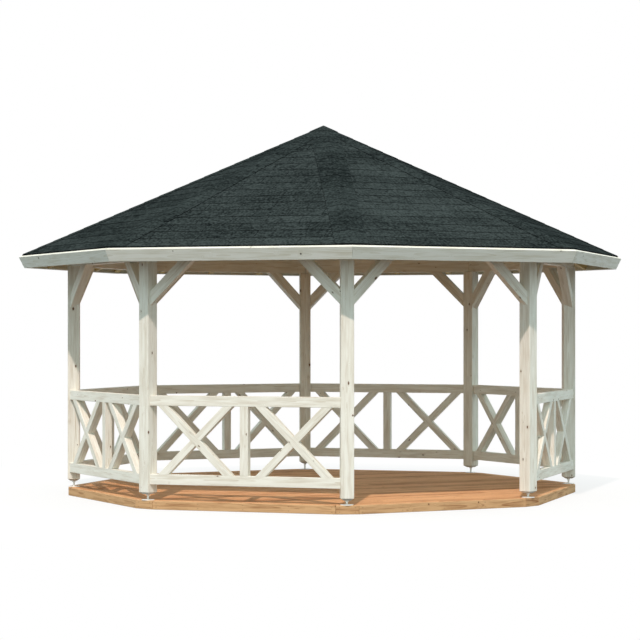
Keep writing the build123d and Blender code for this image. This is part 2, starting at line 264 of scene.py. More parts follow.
def placed(place, local):
    """Points in the gazebo's own frame, worked out from local ones and the axes of their place."""
    return place[0] + local.reshape(-1, 3) @ place[1:]


def inset(loop, width):
    """Outline moved inwards: each corner goes to where its two edges cross, once moved by the width."""
    edge = (np.roll(loop, -1, 0) - loop)[:, :2]
    normal = np.stack([-edge[:, 1], edge[:, 0]], 1) / np.linalg.norm(edge, axis=1, keepdims=True)
    before, width = np.roll(normal, 1, 0), np.broadcast_to(width, len(loop))
    width_before = np.roll(width, 1)
    turn = before[:, 0] * normal[:, 1] - before[:, 1] * normal[:, 0]
    moved = loop.copy()
    moved[:, 0] += (width_before * normal[:, 1] - width * before[:, 1]) / turn
    moved[:, 1] += (width * before[:, 0] - width_before * normal[:, 0]) / turn
    return moved


def eased(loop, next_loop, width):
    """Rows of a rounded arris, from a face's outline towards the next outline.

    At each angle the row is inset by the width times (1 - sine), the width times (1 - cosine) deep.
    """
    width = np.asarray(width, float)
    if width.max() == 0:
        return [loop]
    share = width.max() / abs(next_loop[0, 2] - loop[0, 2])
    way = next_loop - loop
    return [inset(loop + way * share * (1 - math.cos(a)), width * (1 - math.sin(a))) for a in ROUNDING]


def sawn_from_log(grain):
    """Grain coordinates moved so that the log's pith is at their origin, by chance.

    A stout timber has the pith near its middle. A board is sawn beside it, behind its broad face.
    """
    low, high = grain.min(0), grain.max(0)
    half = (high - low) / 2
    stray = np.array([LOG_SHIFT, PITH_STRAY, PITH_STRAY])
    pith = chance.uniform(-stray, stray)
    beside = chance.uniform(*PITH_BESIDE)
    thin = 1 + int(half[2] < half[1])
    if half[thin] < BOARD_SHARE * half[3 - thin]:
        pith[thin] = half[thin] + beside
    return grain - (low + high) / 2 + pith


def ring_faces(index):
    """Four-cornered faces between rows of numbered points, where each row closes on itself."""
    turned = np.roll(index, -1, 1)
    return np.stack([index[:-1], index[1:], turned[1:], turned[:-1]], -1).reshape(-1, 4)


def timber(place, loops, front, back=None, grain_axis=0):
    """Closed solid through matching outlines, each counterclockwise, from the front face to the back.

    Their points are local: along, across and out. Front and back have rounded arrises of these widths,
    one for all edges or one to each. The grain is the local point with its first axis along the wood,
    in the log that it was sawn from.
    """
    back = front if back is None else back
    rows = np.array([
        *eased(loops[0], loops[1], front), *loops[1:-1], *eased(loops[-1], loops[-2], back)[::-1]
    ])
    index = np.arange(rows.shape[0] * rows.shape[1]).reshape(rows.shape[:2])
    local = rows.reshape(-1, 3)
    return {
        "points": placed(place, local),
        "faces": [*ring_faces(index).tolist(), index[0].tolist(), index[-1][::-1].tolist()],
        "grain": sawn_from_log(np.roll(local, -grain_axis, 1)),
        "tone": np.full(len(local), chance.uniform(-1, 1)),
    }


def slab(front, depth, back=None):
    """Outlines of a flat piece, with its front at 0 and its back this far behind."""
    back = front if back is None else back
    return [np.c_[front, np.zeros(len(front))], np.c_[back, np.full(len(back), -depth)]]


def box_outline(left, right, bottom, top):
    """Rectangle between two places along and two places across."""
    return np.array([[left, bottom], [right, bottom], [right, top], [left, top]])


def assembled(name, shells, material):
    """One mesh object from closed shells, with their grain and tone kept on its points."""
    starts = np.cumsum([0] + [len(shell["points"]) for shell in shells]).tolist()
    faces = [[start + n for n in face] for start, shell in zip(starts, shells) for face in shell["faces"]]
    mesh = bpy.data.meshes.new(name)
    mesh.from_pydata(np.concatenate([shell["points"] for shell in shells]).tolist(), [], faces)
    grain = mesh.attributes.new("grain", "FLOAT_VECTOR", "POINT")
    grain.data.foreach_set("vector", np.concatenate([shell["grain"] for shell in shells]).ravel())
    tone = mesh.attributes.new("tone", "FLOAT", "POINT")
    tone.data.foreach_set("value", np.concatenate([shell["tone"] for shell in shells]))
    mesh.materials.append(material)
    piece = bpy.data.objects.new(name, mesh)
    bpy.context.collection.objects.link(piece)
    return piece


floor_low, floor_top = extent("deck_floor", UP)
floor_place = axes([0, 0, floor_top], [1, 0, 0], UP)
floor_flat = extent("deck_floor", outward(0))[1] - RIM_GAP
floor_corner = extent("deck_floor", outward(22.5))[1] - RIM_GAP
turns = np.arange(4) * HALF  # ways that a quarter of the deck's edge faces, a side and a cut corner by turns
reaches = np.array([floor_flat, floor_corner] * 2)  # how far out it lies each way
bends = (reaches[1:] * np.cos(turns[:-1]) - reaches[:-1] * np.cos(turns[1:])) / math.sin(HALF)
bends = np.r_[-bends, bends]  # places across the deck where its outline turns
board_pitch = 2 * floor_flat / FLOOR_BOARDS
joist_lines = (np.arange(JOISTS) - JOISTS // 2) * JOIST_SPACING


def deck_half_width(y):
    """Half the deck's width at y: where the nearest of its sides and cut corners is."""
    return ((reaches - np.abs(y)[:, None] * np.sin(turns)) / np.cos(turns)).min(1)


floor_boards, floor_screws = [], []
for row in range(FLOOR_BOARDS):
    low = -floor_flat + row * board_pitch + FLOOR_GAP / 2
    high = low + board_pitch - FLOOR_GAP
    across = np.sort(np.r_[low, bends[(bends > low + FLOOR_GAP) & (bends < high - FLOOR_GAP)], high])
    half_widths = deck_half_width(across)
    joint = joist_lines[(JOISTS - BUTT_JOISTS) // 2 + 2 * (row + 1) % BUTT_JOISTS]
    butt = np.array([[joint, high], [joint, low]])
    right = np.r_[np.c_[half_widths, across], butt + [BUTT_GAP / 2, 0]]
    left = np.r_[np.c_[-half_widths, across][::-1], butt[::-1] - [BUTT_GAP / 2, 0]]
    for outline in (right, left):
        faces = slab(outline, floor_top - floor_low)
        floor_boards.append(timber(floor_place, faces, FLOOR_ARRIS, FLOOR_BACK_ARRIS))
    held = joist_lines[np.abs(joist_lines) < half_widths.min() - SCREW_INSET]
    held = np.r_[held[held != joint], joint - SCREW_INSET / 2, joint + SCREW_INSET / 2]
    for y in (low + SCREW_INSET, high - SCREW_INSET):
        floor_screws.append(np.c_[held, np.full(len(held), y), np.full(len(held), floor_top)])

oiled_larch = wood_material(
    "oiled_larch", tint(228, 175, 126), tint(160, 104, 64), tint(92, 52, 26),
    contrast=0.6, streaks=3.0, variety=0.5, roughness=0.8, gloss=0.2,
)
deck_boards = assembled("deck_boards", floor_boards, oiled_larch)
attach(deck_boards, "root")
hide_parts("deck_floor")


# ---- Deck rim --------------------------------------------------------------------------------------
# Larch boards on edge round the floor: long ones on the sides and short ones across the corners,
# mitred to each other, with rounded arrises. Screws hold them to the joist ends.

RIM_THICKNESS = 0.028
RIM_ARRIS = 0.004
RIM_JOINT = 0.001
RIM_SCREW_INSET = 0.01
LONG_SCREWS = np.array([-0.97, -0.5, 0, 0.5, 0.97])  # shares of half a board's length
SHORT_SCREWS = np.array([-0.75, 0.75])
SCREW_ROWS = np.array([0.25, 0.75])  # shares of the rim's height


def fitted_board(place, halves, low, high, thickness, arris):
    """Board on edge, its ends cut to what stands beside: half its length in front and behind."""
    front, back = [box_outline(-half, half, low, high) for half in halves]
    return timber(place, slab(front, thickness, back), arris)


def rim_half(distance, beside):
    """Half the length of one side of the rim, from its distance and its neighbours' distance."""
    return (beside - distance * math.cos(HALF)) / math.sin(HALF)


rim_top = extent("deck_rim_sides", UP)[1]
rim_flat = extent("deck_rim_sides", outward(0))[1]
rim_corner = extent("deck_rim_corners", outward(22.5))[1]
rim_boards, rim_screws = [[], []], []
for number in range(2 * SIDES):
    angle = 22.5 * number
    distance, beside = (rim_flat, rim_corner) if number % 2 == 0 else (rim_corner, rim_flat)
    front = rim_half(distance, beside) - RIM_JOINT
    back = rim_half(distance - RIM_THICKNESS, beside - RIM_THICKNESS) - RIM_JOINT
    place = side_axes(angle, distance)
    rim_boards[number % 2].append(fitted_board(place, (front, back), 0, rim_top, RIM_THICKNESS, RIM_ARRIS))
    columns = (LONG_SCREWS, SHORT_SCREWS)[number % 2] * (front - RIM_SCREW_INSET)
    along, height = np.meshgrid(columns, SCREW_ROWS * rim_top)
    screw_places = place[0] + along.reshape(-1, 1) * place[1] + height.reshape(-1, 1) * UP
    rim_screws.append((screw_places, outward(angle)))

oiled_rim = wood_material(
    "oiled_rim", tint(214, 173, 128), tint(150, 104, 66), tint(88, 52, 28),
    contrast=0.6, streaks=4.0, knot_size=0.07, roughness=0.8, gloss=0.2,
)
for name, shells, node in (
    ("rim_long_boards", rim_boards[0], "deck_rim_sides"),
    ("rim_short_boards", rim_boards[1], "deck_rim_corners"),
):
    boards = assembled(name, shells, oiled_rim)
    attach(boards, "root")
    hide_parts(node)


# ---- Deck screws -----------------------------------------------------------------------------------
# Countersunk steel screws with a brown zinc coat, driven flush through the floor boards into the
# joists and through the rim boards into the joist ends.

HEAD_RADII = [0.0013, 0.0019, 0.0038, 0.0042, 0.002]  # recess floor and rim, face, edge, and neck
HEAD_HEIGHTS = [-0.0006, 0.0004, 0.0003, -0.0003, -0.003]


def spun(places, facing, radii, heights, sides=8, start=0.0):
    """The same turned part at many places, all looking one way.

    A point is the place, plus the radius times the cosine and sine of the angle along two ways across
    the axis, plus the height along it. Radii are one to a height, or one to a height and an angle.
    """
    places = np.atleast_2d(places)
    heights = np.asarray(heights, float)
    radii = np.asarray(radii, float).reshape(len(heights), -1)
    angle = start + np.arange(sides) * 2 * math.pi / sides
    across = np.cross(UP if facing[2] == 0 else [1.0, 0.0, 0.0], facing)
    circle = np.cos(angle)[:, None] * across + np.sin(angle)[:, None] * np.cross(facing, across)
    one = radii[..., None] * circle + heights[:, None, None] * facing
    points = (places[:, None, None] + one).reshape(-1, 3)
    index = np.arange(len(heights) * sides).reshape(-1, sides)
    starts = np.arange(len(places))[:, None] * index.size
    faces = (starts[:, None] + ring_faces(index)).reshape(-1, 4).tolist()
    faces += (starts + index[0]).tolist() + (starts + index[-1][::-1]).tolist()
    return {"points": points, "faces": faces, "grain": points, "tone": np.zeros(len(points))}


def screw_heads(places, facing):
    """Countersunk heads, a hair proud, with a recess for the driver."""
    return spun(places, facing, HEAD_RADII, HEAD_HEIGHTS)


def steel_material(name, bright, dull, roughness):
    """Steel with a coat of zinc: cloudy, and rougher where it is duller."""
    material, tree, shader = blank_material(name)
    shader.inputs["Metallic"].default_value = 0.2
    place = put(tree, "ShaderNodeTexCoord", {}).outputs["Object"]
    cloud = noise(tree, place, (70, 70, 70), 3.0)
    tree.links.new(mix(tree, cloud, bright, dull), shader.inputs["Base Color"])
    tree.links.new(ease(tree, cloud, 0.3, 0.7, roughness, roughness + 0.25), shader.inputs["Roughness"])
    give_relief(tree, shader, cloud, 0.2, 0.0003)
    return material


brown_zinc = steel_material("brown_zinc", tint(150, 116, 80), tint(108, 80, 54), 0.5)
heads = [screw_heads(places, facing) for places, facing in [(np.concatenate(floor_screws), UP), *rim_screws]]
deck_screws = assembled("deck_screws", heads, brown_zinc)
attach(deck_screws, "root")


# ---- Post feet -------------------------------------------------------------------------------------
# Adjustable feet of galvanised steel: a round plate screwed to the deck, a threaded rod, and a nut
# with a washer that carries the post clear of the wet floor.

POST_RADIUS = 2.516  # centre of the gazebo to the centre of a post
PLATE_RADIUS = 0.06
PLATE_THICKNESS = 0.005
PLATE_ROUNDING = 0.0015
PLATE_SIDES = 36
PLATE_SCREW_RADIUS = 0.043
ROD_RADIUS = 0.01
ROD_SIDES = 16
THREAD_PITCH = 0.0025
THREAD_DEPTH = 0.0014
THREAD_ROWS = 97
NUT_HALF = 0.015  # from the middle to a flat
NUT_HEIGHT = 0.008
NUT_CHAMFER = 0.0012
NUT_SIDES = 36  # six to each flat
WASHER_RADIUS = 0.019
WASHER_THICKNESS = 0.0025
WASHER_SIDES = 24
post_lows = np.array([extent(f"post_{number}", UP)[0] for number in range(1, SIDES + 1)])
post_angles = 157.5 + 45 * np.arange(SIDES)
post_places = POST_RADIUS * np.array([outward(angle) for angle in post_angles])
on_deck = post_places + UP * rim_top

plates = spun(
    on_deck, UP,
    [PLATE_RADIUS - PLATE_ROUNDING, PLATE_RADIUS, PLATE_RADIUS],
    [PLATE_THICKNESS, PLATE_THICKNESS - PLATE_ROUNDING, 0], sides=PLATE_SIDES,
)
rods = []
for centre, post_low in zip(on_deck, post_lows):
    rod_height = np.linspace(post_low - rim_top, PLATE_THICKNESS, THREAD_ROWS)
    climb = rod_height[:, None] / THREAD_PITCH + np.arange(ROD_SIDES) / ROD_SIDES
    thread = np.abs(climb % 1 * 2 - 1)  # one tooth to each pitch, a little higher at each side of the rod
    rods.append(spun(centre, UP, ROD_RADIUS - THREAD_DEPTH * thread, rod_height, sides=ROD_SIDES))
under_posts = post_places + UP * post_lows[:, None]
nut_angles = np.arange(NUT_SIDES) * 2 * math.pi / NUT_SIDES
from_flat = (nut_angles + math.pi / 6) % (math.pi / 3) - math.pi / 6  # angle from the nearest flat
hexagon = NUT_HALF / np.cos(from_flat)
circle = np.full(NUT_SIDES, NUT_HALF)
nut_rows = [0, -NUT_CHAMFER, NUT_CHAMFER - NUT_HEIGHT, -NUT_HEIGHT]
nuts = spun(under_posts, UP, [circle, hexagon, hexagon, circle], nut_rows, sides=NUT_SIDES)
washer_rows = [-NUT_HEIGHT, -NUT_HEIGHT - WASHER_THICKNESS]
washers = spun(under_posts, UP, [WASHER_RADIUS, WASHER_RADIUS], washer_rows, sides=WASHER_SIDES)
plate_screws = []
for angle, centre in zip(post_angles, on_deck):
    for turn in (45, 135, 225, 315):
        plate_screws.append(centre + outward(angle + turn) * PLATE_SCREW_RADIUS + UP * PLATE_THICKNESS)
# Near-white zinc: pale metal, lightened further as a painted sheen of the sunlit steel.
zinc_and_sheen = steel_material("zinc_plate_and_sheen", tint(250, 249, 244), tint(226, 226, 222), 0.4)
steel_feet = assembled("steel_feet", [plates, *rods, nuts, washers, screw_heads(plate_screws, UP)], zinc_and_sheen)
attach(steel_feet, "root")
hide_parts("post_feet")


# ---- Posts -----------------------------------------------------------------------------------------
# Glued, planed pine, 120 mm square with rounded corners, painted white. The lower end is cut back to
# a blunt point round the steel, so that water drips off, and its taper is coloured grey as painted shade.

POST_SIZE = 0.12
POST_CORNER = 0.006
TOP_ARRIS = 0.002
FOOT_ARRIS = 0.001
TAPER_HEIGHT = 0.02
TAPER_INSET = 0.028
post_top = extent("post_1", UP)[1]


def rounded_square(half, radius):
    """Square with quarter-round corners: four corner centres, each with three points at the radius."""
    corner = np.arange(4)[:, None] * math.pi / 2 + math.pi / 4
    angle = corner + np.array([-1, 0, 1]) * math.pi / 4
    middle = (half - radius) * math.sqrt(2)
    x = middle * np.cos(corner) + radius * np.cos(angle)
    y = middle * np.sin(corner) + radius * np.sin(angle)
    return np.stack([x, y], -1).reshape(-1, 2)


white_paint = wood_material(
    "white_paint", tint(243, 242, 232), tint(198, 186, 164), tint(110, 86, 66),
    contrast=0.42, streaks=3.6, variety=0.12, knot_size=0.11, relief=0.35,
)
# Painted shade: the taper is coloured grey for the shade under the post.
painted_taper_shade = wood_material(
    "painted_taper_shade", tint(206, 204, 196), tint(160, 158, 150), tint(120, 112, 100), roughness=0.7,
)
full = rounded_square(POST_SIZE / 2, POST_CORNER)
foot = rounded_square(POST_SIZE / 2 - TAPER_INSET, POST_CORNER / 2)
for number, (angle, centre, post_low) in enumerate(zip(post_angles, post_places, post_lows), start=1):
    place = axes(centre, outward(angle), UP)
    heights = (post_top, post_low + TAPER_HEIGHT, post_low)
    loops = [np.c_[outline, np.full(len(outline), z)] for outline, z in zip((full, full, foot), heights)]
    shell = timber(place, loops, TOP_ARRIS, FOOT_ARRIS, grain_axis=2)
    post = assembled(f"post_{number}_timber", [shell], white_paint)
    post.data.materials.append(painted_taper_shade)
    face_heights = np.array([face.center.z for face in post.data.polygons])
    post.data.polygons.foreach_set("material_index", (face_heights < post_low + TAPER_HEIGHT).astype(int))
    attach(post, "root")
    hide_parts(f"post_{number}")


# ---- Railings --------------------------------------------------------------------------------------
# Seven painted panels between the posts: two rails with ends cut to the turned posts, a middle
# upright, and two crosses half-lapped at their middles, of planed pine 70 mm deep.

PANEL_DEPTH = 0.07
RAIL_HEIGHT = 0.095
UPRIGHT_HALF = 0.04
BAR_HALF = 0.035
OPEN_BAY = 3  # the entrance
ARRIS = 0.004
END_ARRIS = 0.002
LONG_FIRST = np.array([ARRIS, END_ARRIS, ARRIS, END_ARRIS])  # arris of each edge, a long one first
END_FIRST = np.roll(LONG_FIRST, 1)
panel_face = extent("railing_1", outward(180))[1]
panel_low, panel_top = extent("railing_1", UP)
cross_half = (panel_top - panel_low) / 2 - RAIL_HEIGHT
cross_middle = (panel_top + panel_low) / 2


def clear_half(distance):
    """Half of the clear width between two posts, this far out from the centre of the gazebo."""
    return (distance * math.sin(HALF) - POST_SIZE / 2) / math.cos(HALF)


def cross_bar(panel, middle, rising, depth):
    """One bar of a cross, halved to let the other through, with its ends cut level on the rails.

    Its outline lies along the bar and through the panel's depth. The ends slide along the bar as far
    as they lie across it, because the bar stands at 45 degrees.
    """
    along = (panel[1] + rising * UP) / math.sqrt(2)
    place = axes(panel[0] + middle * panel[1] + cross_middle * UP, along, np.cross(along, panel[3]))
    reach, half = cross_half * math.sqrt(2), depth / 2
    loops = []
    for across in (BAR_HALF, -BAR_HALF):
        low, high = rising * across - reach, rising * across + reach
        if rising > 0:
            outline = [(low, -depth), (high, -depth), (high, 0), (BAR_HALF, 0), (BAR_HALF, -half),
                       (-BAR_HALF, -half), (-BAR_HALF, 0), (low, 0)]
            arrises = [ARRIS, END_ARRIS, ARRIS, 0, 0, 0, ARRIS, END_ARRIS]
        else:
            outline = [(low, -depth), (-BAR_HALF, -depth), (-BAR_HALF, -half), (BAR_HALF, -half),
                       (BAR_HALF, -depth), (high, -depth), (high, 0), (low, 0)]
            arrises = [ARRIS, 0, 0, 0, ARRIS, END_ARRIS, ARRIS, END_ARRIS]
        loops.append(np.c_[np.array(outline), np.full(len(outline), across)])
    return timber(place, loops, arrises)


for number in range(1, SIDES + 1):
    if number == OPEN_BAY:
        continue
    angle = 180 + 45 * (number - 1)
    panel = side_axes(angle, panel_face)
    front, back = clear_half(panel_face), clear_half(panel_face - PANEL_DEPTH)
    shells = []
    for low in (panel_low, panel_top - RAIL_HEIGHT):
        shells.append(fitted_board(panel, (front, back), low, low + RAIL_HEIGHT, PANEL_DEPTH, LONG_FIRST))
    low, high = cross_middle - cross_half, cross_middle + cross_half
    upright = box_outline(low, high, -UPRIGHT_HALF, UPRIGHT_HALF)
    standing = axes(panel[0], UP, panel[3])
    shells.append(timber(standing, slab(upright, PANEL_DEPTH), LONG_FIRST))
    offset = (UPRIGHT_HALF + (front + back) / 2) / 2
    for middle in (-offset, offset):
        shells += [cross_bar(panel, middle, rising, PANEL_DEPTH) for rising in (1, -1)]
    railing = assembled(f"railing_{number}_timbers", shells, white_paint)
    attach(railing, "root")
    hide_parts(f"railing_{number}")


# ---- Knee braces -----------------------------------------------------------------------------------
# Painted pine at 45 degrees from each post to the ring beam, two in each bay. The lower end is cut
# upright to the post's turned face, and the upper end level under the beam.

BRACE_DEPTH = 0.085
BRACE_REACH = 0.415
BRACE_WIDTH = 0.095
brace_face = extent("knee_braces", outward(0))[1]


def brace_outline(clear, front_clear, side):
    """Face of a brace: level at the beam and upright at the post, which stands this far from the middle."""
    inner_reach = BRACE_REACH - BRACE_WIDTH * math.sqrt(2)
    foot = post_top + front_clear - clear
    outline = np.array([
        (clear, foot - BRACE_REACH), (clear, foot - inner_reach),
        (front_clear - inner_reach, post_top), (front_clear - BRACE_REACH, post_top),
    ])
    return outline if side > 0 else (outline * [-1, 1])[::-1]


def turned_back(outline, angle):
    """Outline in axes that are turned by this angle."""
    cosine, sine = math.cos(angle), math.sin(angle)
    return outline @ np.array([[cosine, -sine], [sine, cosine]])


braces = []
for number in range(SIDES):
    angle = 45 * number
    front, back = clear_half(brace_face), clear_half(brace_face - BRACE_DEPTH)
    for side in (1, -1):
        lean = math.radians(90 + 45 * side)
        along = math.cos(lean) * outward(angle + 90) + math.sin(lean) * UP
        place = axes(outward(angle) * brace_face, along, outward(angle))
        faces = [turned_back(brace_outline(clear, front, side), lean) for clear in (front, back)]
        braces.append(timber(place, slab(faces[0], BRACE_DEPTH, faces[1]), END_FIRST))
brace_timbers = assembled("brace_timbers", braces, white_paint)
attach(brace_timbers, "root")
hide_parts("knee_braces")


# ---- Ring beam -------------------------------------------------------------------------------------
# Eight painted beams of glued pine, on edge on the post tops and mitred over the posts. They tie the
# posts together and carry the notched rafters.

BEAM_THICKNESS = 0.09
BEAM_JOINT = 0.001
beam_low, beam_high = extent("ring_beams", UP)
beam_face = extent("ring_beams", outward(0))[1]
beams = []
for number in range(SIDES):
    angle = 45 * number
    place = side_axes(angle, beam_face)
    halves = [out * math.tan(HALF) - BEAM_JOINT for out in (beam_face, beam_face - BEAM_THICKNESS)]
    beams.append(fitted_board(place, halves, beam_low, beam_high, BEAM_THICKNESS, LONG_FIRST))
beam_timbers = assembled("beam_timbers", beams, white_paint)
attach(beam_timbers, "root")
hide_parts("ring_beams")


# ---- Roof timbers ----------------------------------------------------------------------------------
# Planed spruce, left natural: a hip rafter over each post with its top bevelled to both slopes, and
# three rafters in each slope, all notched over the beam. The hips butt against a block at the apex.

PITCH = math.radians(25.1)
HIP_PITCH = math.atan(math.tan(PITCH) * math.cos(HALF))
EAVE = 2.833  # centre to the top outer edge of the eaves
EAVE_HEIGHT = 2.382
RAFTER_TOP = -0.026  # below the plane of the roof, square to it, as are the next ones
RAFTER_DEPTH = 0.13
TAIL_BOTTOM = -0.116
RAFTER_HALF = 0.03
JACK_OFFSET = 0.6
COMMON_END = 0.19
HIP_HALF = 0.04
HIP_DEPTH = 0.16
ROOF_ARRIS = 0.0024
FASCIA_THICKNESS = 0.02
hub_flat = extent("roof_hub", outward(22.5))[1]


def roof_height(distance, offset):
    """Height of a slope, or of a plane beside it at this offset, this far out from the centre."""
    return EAVE_HEIGHT + (EAVE - distance) * math.tan(PITCH) + offset / math.cos(PITCH)


def slope_axes(angle):
    """Axes of a slope: along the eave, up the slope, and out of it, from the middle of the eave."""
    facing = outward(angle) * math.sin(PITCH) + UP * math.cos(PITCH)
    return axes(outward(angle) * EAVE + UP * EAVE_HEIGHT, outward(angle + 90), facing)


def slope_half(up, offset=0.0):
    """Half the width of a slope, this far up it and this far out of it."""
    return (EAVE - up * math.cos(PITCH) + offset * math.sin(PITCH)) * math.tan(HALF)


def up_and_out(points, lean):
    """Points of an upright section, as distance and height, turned to lie up a lean and out of it."""
    distance, height = (np.array(points) - [0, EAVE_HEIGHT]).T
    cosine, sine = math.cos(lean), math.sin(lean)
    return np.stack([height * sine - distance * cosine, height * cosine + distance * sine], 1)


def upright_timber(angle, lean, sections, across):
    """Timber cut from upright sections that stand side by side, each this far across the timber."""
    along = UP * math.sin(lean) - outward(angle) * math.cos(lean)
    place = axes(UP * EAVE_HEIGHT, along, outward(angle + 90))
    loops = [np.c_[up_and_out(points, lean), np.full(len(points), y)] for points, y in zip(sections, across)]
    return timber(place, loops, ROOF_ARRIS)


def eave_point(up, offset):
    """Distance and height of a point near the eave, up the slope and out of it."""
    return (EAVE - up * math.cos(PITCH) + offset * math.sin(PITCH),
            EAVE_HEIGHT + up * math.sin(PITCH) + offset * math.cos(PITCH))


def rafter_section(along):
    """Side of a rafter, from its tail over the notch to where it meets the hip beside it."""
    end = max(COMMON_END, (abs(along) * math.cos(HALF) + HIP_HALF) / math.sin(HALF))
    bottom = RAFTER_TOP - RAFTER_DEPTH
    notch = EAVE - (beam_high - roof_height(EAVE, bottom)) / math.tan(PITCH)
    return [
        eave_point(FASCIA_THICKNESS, RAFTER_TOP), eave_point(FASCIA_THICKNESS, TAIL_BOTTOM),
        (beam_face, roof_height(beam_face, TAIL_BOTTOM)), (beam_face, beam_high), (notch, beam_high),
        (end, roof_height(end, bottom)), (end, roof_height(end, RAFTER_TOP)),
    ]


def hip_section(across):
    """Side of a hip rafter this far across it: its top and its tail follow the slope that it faces."""
    aside = abs(across) * math.sin(HALF)
    tail = math.cos(PITCH) * (FASCIA_THICKNESS + aside * math.cos(PITCH) - TAIL_BOTTOM * math.tan(PITCH))
    top_distance, top_height = eave_point(FASCIA_THICKNESS, RAFTER_TOP)
    bottom = HIP_DEPTH / math.cos(HIP_PITCH)
    seat_out = beam_face / math.cos(HALF)
    seat_rise = beam_high + bottom - roof_height(EAVE, RAFTER_TOP)
    seat_in = (EAVE - seat_rise / math.tan(PITCH)) / math.cos(HALF)
    hub = hub_flat * math.cos(HALF)
    return [
        ((top_distance - aside) / math.cos(HALF), top_height),
        ((EAVE - tail) / math.cos(HALF), roof_height(EAVE - tail, TAIL_BOTTOM)),
        (seat_out, roof_height(beam_face, TAIL_BOTTOM)), (seat_out, beam_high), (seat_in, beam_high),
        (hub_flat, roof_height(hub, RAFTER_TOP) - bottom), (hub_flat, roof_height(hub + aside, RAFTER_TOP)),
    ]


SPRUCE = (tint(228, 208, 154), tint(184, 150, 94), tint(130, 92, 56))
natural_spruce = wood_material("natural_spruce", *SPRUCE)
rafters, hips = [], []
for number in range(SIDES):
    angle = 45 * number
    for middle in (-JACK_OFFSET, 0, JACK_OFFSET):
        across = (middle + RAFTER_HALF, middle - RAFTER_HALF)
        rafters.append(upright_timber(angle, PITCH, [rafter_section(y) for y in across], across))
    across = (HIP_HALF, 0, -HIP_HALF)
    hips.append(upright_timber(angle + 22.5, HIP_PITCH, [hip_section(y) for y in across], across))
for name, shells, node in (
    ("rafter_timbers", rafters, "rafters"),
    ("hip_timbers", hips, "hip_rafters"),
):
    timbers = assembled(name, shells, natural_spruce)
    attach(timbers, "root")
    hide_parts(node)

spruce_block = wood_material("spruce_block", *SPRUCE, object_axes=(2, 0, 1))
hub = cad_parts["roof_hub"]
hub.data.materials.clear()
hub.data.materials.append(spruce_block)


# ---- Roof boards -----------------------------------------------------------------------------------
# Tongued spruce boards nailed across the rafters from the eave up, with a V along each joint below.
# They are mitred on the hips.

SHEATHING_TOP = -0.008
ROOF_BOARD = 0.118
V_DEPTH = 0.004
PEAK_HALF = 0.002  # half the width that the topmost board ends with
slope_length = EAVE / math.cos(PITCH)
board_edges = np.arange(FASCIA_THICKNESS, slope_length - ROOF_BOARD / 2, ROOF_BOARD)
board_edges = np.append(board_edges, slope_length)


def tapered(wide, low, narrow, high, out, upper_out=None):
    """Outline between the hips, from half its width at its lower edge to half its width at its upper."""
    lower, upper = [low, out], [high, out if upper_out is None else upper_out]
    return np.array([[-wide, *lower], [wide, *lower], [narrow, *upper], [-narrow, *upper]])


for number in range(1, SIDES + 1):
    place = slope_axes(180 + 45 * (number - 1))
    shells = []
    for low, high in zip(board_edges[:-1], board_edges[1:]):
        loops = []
        for offset in (SHEATHING_TOP, RAFTER_TOP):
            wide, narrow = slope_half(low, offset), max(slope_half(high, offset), PEAK_HALF)
            loops.append(tapered(wide, low, narrow, high, offset))
        shells.append(timber(place, loops, 0.0, [V_DEPTH, 0, V_DEPTH, 0]))
    boards = assembled(f"roof_boarding_{number}", shells, natural_spruce)
    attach(boards, "root")
    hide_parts(f"roof_boards_{number}")


# ---- Fascia and lath -------------------------------------------------------------------------------
# A painted board on the rafter tails, square to the slope and mitred at the corners, with a flat
# lath nailed along its top that stops the shingles.

FASCIA_BOTTOM = -0.121
LATH_WIDTH = 0.043
FASCIA_JOINT = 0.001
FASCIA_ARRIS = 0.0025 * np.array([1, 0.3, 1, 0.3])  # long edges and ends by turns

fascia_paint = wood_material(
    "fascia_paint", tint(234, 234, 226), tint(196, 190, 166), tint(70, 66, 56),
    contrast=0.38, streaks=3.6, variety=0.12, knot_size=0.08, gloss=0.15, relief=0.25,
)
fascias, laths = [], []
for number in range(SIDES):
    angle = 45 * number
    facing = outward(angle) * math.cos(PITCH) - UP * math.sin(PITCH)
    place = axes(outward(angle) * EAVE + UP * EAVE_HEIGHT, outward(angle + 90), facing)
    for pieces, low, high, thickness in (
        (fascias, FASCIA_BOTTOM, SHEATHING_TOP, FASCIA_THICKNESS), (laths, SHEATHING_TOP, 0, LATH_WIDTH)
    ):
        loops = []
        for up in (0, thickness):
            bottom, top = slope_half(up, low) - FASCIA_JOINT, slope_half(up, high) - FASCIA_JOINT
            loops.append(tapered(bottom, low, top, high, -up))
        pieces.append(timber(place, loops, FASCIA_ARRIS))
for name, shells, node in (
    ("fascia_timbers", fascias, "fascia_boards"),
    ("lath_timbers", laths, "eave_laths"),
):
    timbers = assembled(name, shells, fascia_paint)
    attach(timbers, "root")
    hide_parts(node)


# ---- Shingles --------------------------------------------------------------------------------------
# Bitumen shingles with mineral granules over a felt underlay and a starter strip: courses of slotted
# tabs from the eave up, each lapping the one below by half and shifted along it, nailed to the boards.

